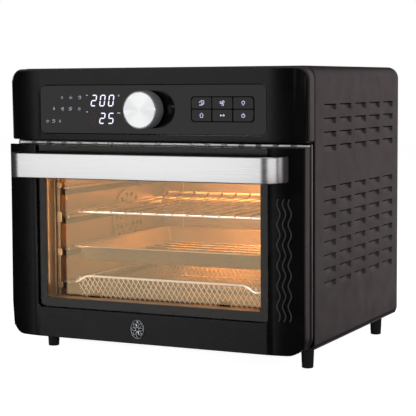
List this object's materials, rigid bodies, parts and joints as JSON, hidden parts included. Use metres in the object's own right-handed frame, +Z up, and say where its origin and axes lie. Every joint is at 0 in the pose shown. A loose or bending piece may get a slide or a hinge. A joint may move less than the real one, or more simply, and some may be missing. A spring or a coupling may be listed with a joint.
{
  "type": "toaster oven",
  "caption": "Black countertop toaster oven with a drop-down glass door, bar handle, rotary knob, touch keys, louvred sides, wire rack, tray, mesh basket and crumb tray.",
  "frame": {"origin": "middle of the footprint, on the worktop under the feet", "axes": "+Z up, -Y out of the door (the front), +X to the right as the user faces the oven"},
  "size_m": [0.406, 0.3708, 0.3604],
  "materials": {
    "casing_black": "satin, fine texture",
    "fascia_black": "satin",
    "gloss_black": "polished",
    "glass_clear": "clear",
    "steel_brushed": "brushed along its length",
    "aluminium_spun": "spun",
    "cavity_steel": "satin",
    "chrome_wire": "polished",
    "tray_enamel": "enamel",
    "heater_metal": "dark oxide",
    "rubber_black": "matt",
    "board_green": "satin",
    "zinc_plated": "plated"
  },
  "bodies": {
    "oven_body": {"outer_wrap": "casing_black", "rear_panel": "casing_black", "base_plate": "casing_black", "front_frame": "casing_black", "foot_front_left": "rubber_black", "foot_front_right": "rubber_black", "foot_rear_left": "rubber_black", "foot_rear_right": "rubber_black", "cord_gland": "rubber_black", "rear_screw_low_left": "zinc_plated", "rear_screw_low_right": "zinc_plated", "rear_screw_top_left": "zinc_plated", "rear_screw_top_right": "zinc_plated", "cavity_floor": "cavity_steel", "cavity_ceiling": "cavity_steel", "cavity_back": "cavity_steel", "cavity_wall_left": "cavity_steel", "cavity_wall_right": "cavity_steel", "heat_shield": "cavity_steel", "fan_guard": "cavity_steel", "fan_motor": "zinc_plated", "heater_upper_front": "heater_metal", "heater_upper_rear": "heater_metal", "heater_lower_front": "heater_metal", "heater_lower_rear": "heater_metal", "lamp_housing": "zinc_plated", "lamp_lens": "glass_clear", "temperature_probe": "zinc_plated", "power_board": "board_green", "control_fascia": "fascia_black", "display_panel": "gloss_black", "control_board": "board_green", "encoder": "zinc_plated", "hinge_bracket_left": "zinc_plated", "hinge_bracket_right": "zinc_plated"},
    "door": {"door_frame": "fascia_black", "door_outer_glass": "glass_clear", "door_inner_glass": "glass_clear", "door_inner_panel": "cavity_steel", "handle_bar": "steel_brushed", "door_badge": "steel_brushed", "pane_clip_left": "zinc_plated", "pane_clip_right": "zinc_plated", "pane_rail": "zinc_plated", "hinge_pin_left": "zinc_plated", "hinge_pin_right": "zinc_plated"},
    "knob": {"knob_cap": "aluminium_spun", "knob_skirt": "rubber_black", "knob_shaft": "zinc_plated"},
    "key_upper_1": {"key_upper_1": "gloss_black"},
    "key_upper_2": {"key_upper_2": "gloss_black"},
    "key_upper_3": {"key_upper_3": "gloss_black"},
    "key_lower_1": {"key_lower_1": "gloss_black"},
    "key_lower_2": {"key_lower_2": "gloss_black"},
    "key_lower_3": {"key_lower_3": "gloss_black"},
    "fan": {"fan_blade": "cavity_steel"},
    "rack": {"wire_rack": "chrome_wire"},
    "tray": {"baking_tray": "tray_enamel"},
    "basket": {"crisping_basket": "chrome_wire"},
    "crumbs": {"crumb_tray": "tray_enamel"}
  },
  "joints": [
    {"name": "door_hinge", "type": "hinge", "parent": "oven_body", "child": "door", "pos_m": [0, -0.1314, 0.0297], "axis": [1, 0, 0], "range_deg": [0, 80], "stiffness_Nm_per_rad": 0.6, "springref_deg": -34.38},
    {"name": "knob_turn", "type": "hinge", "parent": "oven_body", "child": "knob", "pos_m": [0, -0.1534, 0.3097], "axis": [0, -1, 0], "continuous": true},
    {"name": "fan_spin", "type": "hinge", "parent": "oven_body", "child": "fan", "pos_m": [-0.1515, 0.0516, 0.1547], "axis": [1, 0, 0], "continuous": true},
    {"name": "key_upper_1_press", "type": "slide", "parent": "oven_body", "child": "key_upper_1", "axis": [0, 1, 0], "range_m": [0, 0.001], "stiffness_N_per_m": 400, "springref_m": -0.0008},
    {"name": "key_upper_2_press", "type": "slide", "parent": "oven_body", "child": "key_upper_2", "axis": [0, 1, 0], "range_m": [0, 0.001], "stiffness_N_per_m": 400, "springref_m": -0.0008},
    {"name": "key_upper_3_press", "type": "slide", "parent": "oven_body", "child": "key_upper_3", "axis": [0, 1, 0], "range_m": [0, 0.001], "stiffness_N_per_m": 400, "springref_m": -0.0008},
    {"name": "key_lower_1_press", "type": "slide", "parent": "oven_body", "child": "key_lower_1", "axis": [0, 1, 0], "range_m": [0, 0.001], "stiffness_N_per_m": 400, "springref_m": -0.0008},
    {"name": "key_lower_2_press", "type": "slide", "parent": "oven_body", "child": "key_lower_2", "axis": [0, 1, 0], "range_m": [0, 0.001], "stiffness_N_per_m": 400, "springref_m": -0.0008},
    {"name": "key_lower_3_press", "type": "slide", "parent": "oven_body", "child": "key_lower_3", "axis": [0, 1, 0], "range_m": [0, 0.001], "stiffness_N_per_m": 400, "springref_m": -0.0008},
    {"name": "rack_slide", "type": "slide", "parent": "oven_body", "child": "rack", "axis": [0, -1, 0], "range_m": [0, 0.1816]},
    {"name": "tray_slide", "type": "slide", "parent": "oven_body", "child": "tray", "axis": [0, -1, 0], "range_m": [0, 0.1537]},
    {"name": "basket_slide", "type": "slide", "parent": "oven_body", "child": "basket", "axis": [0, -1, 0], "range_m": [0, 0.0839]},
    {"name": "crumbs_slide", "type": "slide", "parent": "oven_body", "child": "crumbs", "axis": [0, -1, 0], "range_m": [0, 0.049]}
  ],
  "couplings": [
    {"joint": "rack_slide", "follows": "door_hinge", "m_per_rad": 0.13},
    {"joint": "tray_slide", "follows": "door_hinge", "m_per_rad": 0.11},
    {"joint": "basket_slide", "follows": "door_hinge", "m_per_rad": 0.06},
    {"joint": "crumbs_slide", "follows": "door_hinge", "m_per_rad": 0.035}
  ]
}
